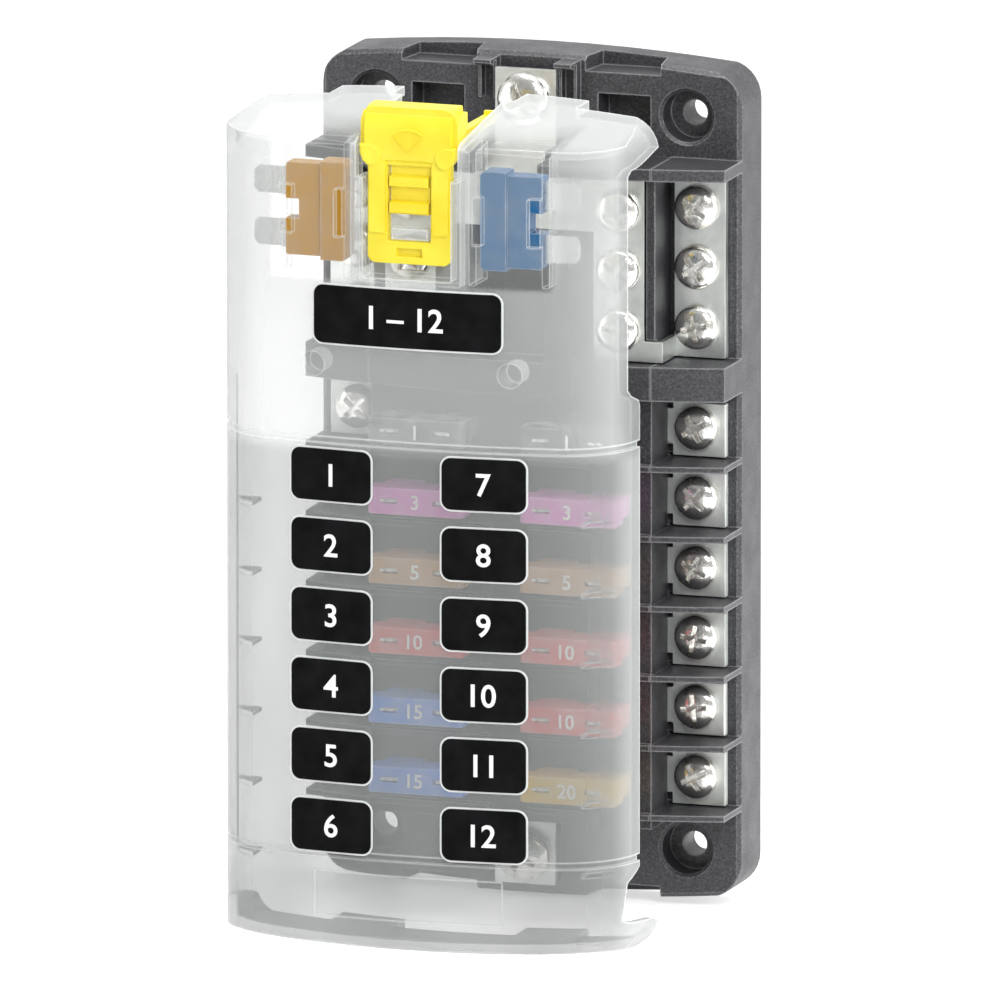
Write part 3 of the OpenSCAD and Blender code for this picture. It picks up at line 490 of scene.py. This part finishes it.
def lay_on_cover(mesh, x, z, lift):
    """Bends a mesh to the cover's front at x, z, lift above the surface."""
    crest = -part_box("cover_shell")[0].y
    for v in mesh.vertices:
        across = x + v.co.x
        surface = crest - FRONT_RADIUS + math.sqrt(FRONT_RADIUS ** 2 - across ** 2)
        v.co = Vector((across, -(surface + lift + v.co.z), z + v.co.y))


def label_centres():
    """Middle of each circuit label, from the twelve islands of the labels' solid."""
    low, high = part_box("circuit_labels")
    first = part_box(fuse_name(0, "body"))
    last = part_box(fuse_name(COLUMN - 1, "body"))
    top = (first[0].z + first[1].z) / 2
    pitch = (top - (last[0].z + last[1].z) / 2) / (COLUMN - 1)
    height = high.z - low.z - (COLUMN - 1) * pitch
    column = (first[0].x + first[1].x) / 2
    width = 2 * (column - low.x)
    centres = []
    for i in range(CIRCUITS):
        x = column if i < COLUMN else -column
        centres.append((x, high.z - height / 2 - (i % COLUMN) * pitch))
    return centres, width, height


def print_labels():
    ink = white_print()
    edge = white_print("label_edge", (0.72, 0.74, 0.73))
    border = LABEL_BORDER
    centres, width, height = label_centres()
    for i, (x, z) in enumerate(centres):
        digits = text_mesh(str(i + 1), LABEL_DIGITS, 0.08 * MM, 0.06 * MM)
        lay_on_cover(digits, x, z, LABEL_FILM)
        add_piece(f"label_number_{i + 1:02d}", digits, ink, "cover")
        rim = rim_mesh(width + 2 * border, height + 2 * border, LABEL_CORNER + border,
                       border, LABEL_BORDER_THICKNESS)
        lay_on_cover(rim, x, z, 0.0)
        add_piece(f"label_edge_{i + 1:02d}", rim, edge, "cover")
    low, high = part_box("title_label")
    title = text_mesh("1 – 12", TITLE_DIGITS, 0.1 * MM, 0.06 * MM)
    lay_on_cover(title, 0.0, (low.z + high.z) / 2, LABEL_FILM)
    add_piece("title_number", title, ink, "cover")
    rim = rim_mesh(high.x - low.x + 2 * border, high.z - low.z + 2 * border,
                   LABEL_CORNER + border, border, LABEL_BORDER_THICKNESS)
    slice_across(rim, 2 * MM)
    lay_on_cover(rim, 0.0, (low.z + high.z) / 2, 0.0)
    add_piece("title_edge", rim, edge, "cover")


def print_fuses():
    """The rating and two test-point dashes on the cap of each seated fuse."""
    ink = white_print("fuse_print", (0.97, 0.96, 0.93))
    for i in range(CIRCUITS):
        low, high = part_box(fuse_name(i, "body"))
        x = (low.x + high.x) / 2
        z = (low.z + high.z) / 2
        top = -low.y
        body = f"fuse_{i + 1:02d}"
        digits = text_mesh(RATINGS[i], FUSE_DIGITS, 0.06 * MM, 0.12 * MM)
        lay_flat(digits, x, z, top)
        add_piece(f"{body}_rating", digits, ink, body)
        for side in (-1, 1):
            for part, width in ((0, 1.3), (1, 0.9)):
                dash = bar_mesh(width * MM, 0.5 * MM, 0.14 * MM)
                lay_flat(dash, x + side * (5.0 + 1.55 * part) * MM, z + 0.1 * MM, top)
                add_piece(f"{body}_dash_{'ab'[part]}{'lr'[side > 0]}", dash, ink, body)


def press_mark():
    """Raised outline of a plain downward arrow on the latch's pad."""
    low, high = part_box("cover_latch")
    half = 3.0 * MM
    width = 0.4 * MM
    z = high.z - 6.2 * MM
    arc = [(half * math.sin(math.radians(a)) / math.sin(math.radians(50)),
            1.0 * MM + (half * math.cos(math.radians(a)) - half * math.cos(math.radians(50))))
           for a in range(-50, 51, 10)]
    path = arc + [(0.0, -2.2 * MM)]
    centre = Vector((0.0, 0.3 * MM))
    mesh = bpy.data.meshes.new("press_mark")
    bm = bmesh.new()
    rings = []
    for level, grow in ((0.0, 0.5), (0.22, 0.28), (0.22, -0.28), (0.0, -0.5)):
        ring = []
        for x, y in path:
            out = Vector((x, y)) - centre
            spot = Vector((x, y)) + out.normalized() * grow * width
            ring.append(bm.verts.new((spot.x, spot.y, level * MM)))
        rings.append(ring)
    count = len(path)
    for r in range(4):
        for k in range(count):
            after = (k + 1) % count
            other = rings[(r + 1) % 4]
            bm.faces.new((rings[r][k], rings[r][after], other[after], other[k]))
    bmesh.ops.recalc_face_normals(bm, faces=bm.faces)
    bm.to_mesh(mesh)
    bm.free()
    lay_flat(mesh, 0.0, z, -low.y - 0.02 * MM)
    add_piece("latch_mark", mesh, nodes["cover_latch"].data.materials[0], "latch")


def plate_mesh(outline, thickness, rounding):
    """A flat plate cut to outline, lying on z = 0, with rounded edges."""
    mesh = bpy.data.meshes.new("plate")
    bm = bmesh.new()
    face = bm.faces.new([bm.verts.new((x, y, 0.0)) for x, y in outline])
    raised = bmesh.ops.extrude_face_region(bm, geom=[face])["geom"]
    lifted = [v for v in raised if isinstance(v, bmesh.types.BMVert)]
    bmesh.ops.translate(bm, vec=(0, 0, thickness), verts=lifted)
    bmesh.ops.recalc_face_normals(bm, faces=bm.faces)
    rims = [e for e in bm.edges if all(v.co.z > thickness / 2 for v in e.verts)]
    bmesh.ops.bevel(bm, geom=rims, offset=rounding, segments=3, affect="EDGES")
    bm.to_mesh(mesh)
    bm.free()
    return mesh


def latch_lips():
    """The two curled lips at the foot of the latch's pad."""
    low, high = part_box("cover_latch")
    foot = high.z - PAD_LENGTH
    for side in (-1, 1):
        outline = [(side * x * MM, y * MM) for x, y in LIP]
        lip = plate_mesh(outline if side > 0 else outline[::-1], LIP_THICKNESS, LIP_ROUNDING)
        lay_flat(lip, 0.0, foot, -low.y - LIP_SINK)
        name = "latch_lip_right" if side > 0 else "latch_lip_left"
        add_piece(name, lip, nodes["cover_latch"].data.materials[0], "latch")


# Stage

def pale_floor():
    """A wide pale floor that reads as white and keeps the shadow."""
    size = 8.0
    mesh = bpy.data.meshes.new("floor")
    level = cad_box[0].z - 0.6 * MM
    corners = [(x * size, y * size, level) for x, y in ((-1, -1), (1, -1), (1, 1), (-1, 1))]
    mesh.from_pydata(corners, [], [(0, 1, 2, 3)])
    floor = bpy.data.objects.new("floor", mesh)
    bpy.context.scene.collection.objects.link(floor)
    finish = Finish("floor", (0.82, 0.82, 0.82), 0.9)
    finish.set("Specular IOR Level", 0.0)
    finish.set("Emission Color", (1.0, 1.0, 1.0, 1.0))
    path = finish.tree.nodes.new("ShaderNodeLightPath")
    seen = finish.join(path.outputs["Is Camera Ray"], path.outputs["Is Glossy Ray"])
    seen = finish.join(seen, path.outputs["Is Transmission Ray"])
    finish.link(finish.spread(seen, 0.0, 0.62, 0.0, 1.0), "Emission Strength")
    mesh.materials.append(finish.material)


def surround():
    """White studio: even fill on the object, bright behind and above, greyer from the front."""
    world = bpy.data.worlds.new("studio")
    bpy.context.scene.world = world
    world.use_nodes = True
    tree = world.node_tree
    background = tree.nodes["Background"]
    direction = tree.nodes.new("ShaderNodeTexCoord").outputs["Generated"]
    split = tree.nodes.new("ShaderNodeSeparateXYZ")
    tree.links.new(direction, split.inputs["Vector"])
    depth = tree.nodes.new("ShaderNodeMapRange")
    depth.inputs["From Min"].default_value = -0.9
    depth.inputs["From Max"].default_value = 0.25
    depth.inputs["To Min"].default_value = 0.42
    depth.inputs["To Max"].default_value = 1.0
    tree.links.new(split.outputs["Y"], depth.inputs["Value"])
    path = tree.nodes.new("ShaderNodeLightPath")
    diffuse = tree.nodes.new("ShaderNodeMapRange")
    diffuse.inputs["To Min"].default_value = 1.0
    diffuse.inputs["To Max"].default_value = 0.55
    tree.links.new(path.outputs["Is Diffuse Ray"], diffuse.inputs["Value"])
    strength = tree.nodes.new("ShaderNodeMath")
    strength.operation = "MULTIPLY"
    tree.links.new(depth.outputs["Result"], strength.inputs[0])
    tree.links.new(diffuse.outputs["Result"], strength.inputs[1])
    camera = tree.nodes.new("ShaderNodeMath")
    camera.operation = "MAXIMUM"
    tree.links.new(strength.outputs["Value"], camera.inputs[0])
    tree.links.new(path.outputs["Is Camera Ray"], camera.inputs[1])
    tree.links.new(camera.outputs["Value"], background.inputs["Strength"])
    background.inputs["Color"].default_value = (1.0, 1.0, 1.0, 1.0)


def soft_light(name, place, aim, size, power):
    lamp = bpy.data.lights.new(name, "AREA")
    lamp.shape = "RECTANGLE"
    lamp.size, lamp.size_y = size
    lamp.energy = power
    holder = bpy.data.objects.new(name, lamp)
    holder.location = place
    holder.rotation_euler = (Vector(aim) - Vector(place)).to_track_quat("-Z", "Y").to_euler()
    bpy.context.scene.collection.objects.link(holder)


def studio_lights(middle):
    soft_light("key", (0.42, -0.55, 0.42), middle, (0.30, 0.30), 3.1)
    soft_light("fill", (-0.60, -0.45, 0.10), middle, (0.40, 0.60), 1.2)
    soft_light("top", (0.05, -0.12, 0.75), middle, (0.50, 0.40), 4.0)
    soft_light("side", (0.85, 0.14, 0.15), middle, (0.60, 0.70), 4.2)


def photo_camera():
    """Long lens from the front right and a little above, as the photograph was taken."""
    azimuth, elevation = math.radians(18.5), math.radians(11.4)
    target = Vector((2.9, -43.0, 1.8)) * MM
    field = 188.9 * MM
    distance = 8.0
    back = Vector((math.sin(azimuth) * math.cos(elevation),
                   -math.cos(azimuth) * math.cos(elevation),
                   math.sin(elevation)))
    camera = bpy.data.cameras.new("camera")
    camera.lens = camera.sensor_width * distance / field
    camera.clip_start = 0.1
    camera.clip_end = 30.0
    holder = bpy.data.objects.new("camera", camera)
    holder.location = target + back * distance
    holder.rotation_euler = (-back).to_track_quat("-Z", "Y").to_euler()
    bpy.context.scene.collection.objects.link(holder)
    bpy.context.scene.camera = holder


photo_camera()
dress_solids()
print_labels()
print_fuses()
press_mark()
latch_lips()
pale_floor()
surround()
studio_lights((cad_box[0] + cad_box[1]) / 2)
bpy.context.scene.view_settings.view_transform = "Standard"
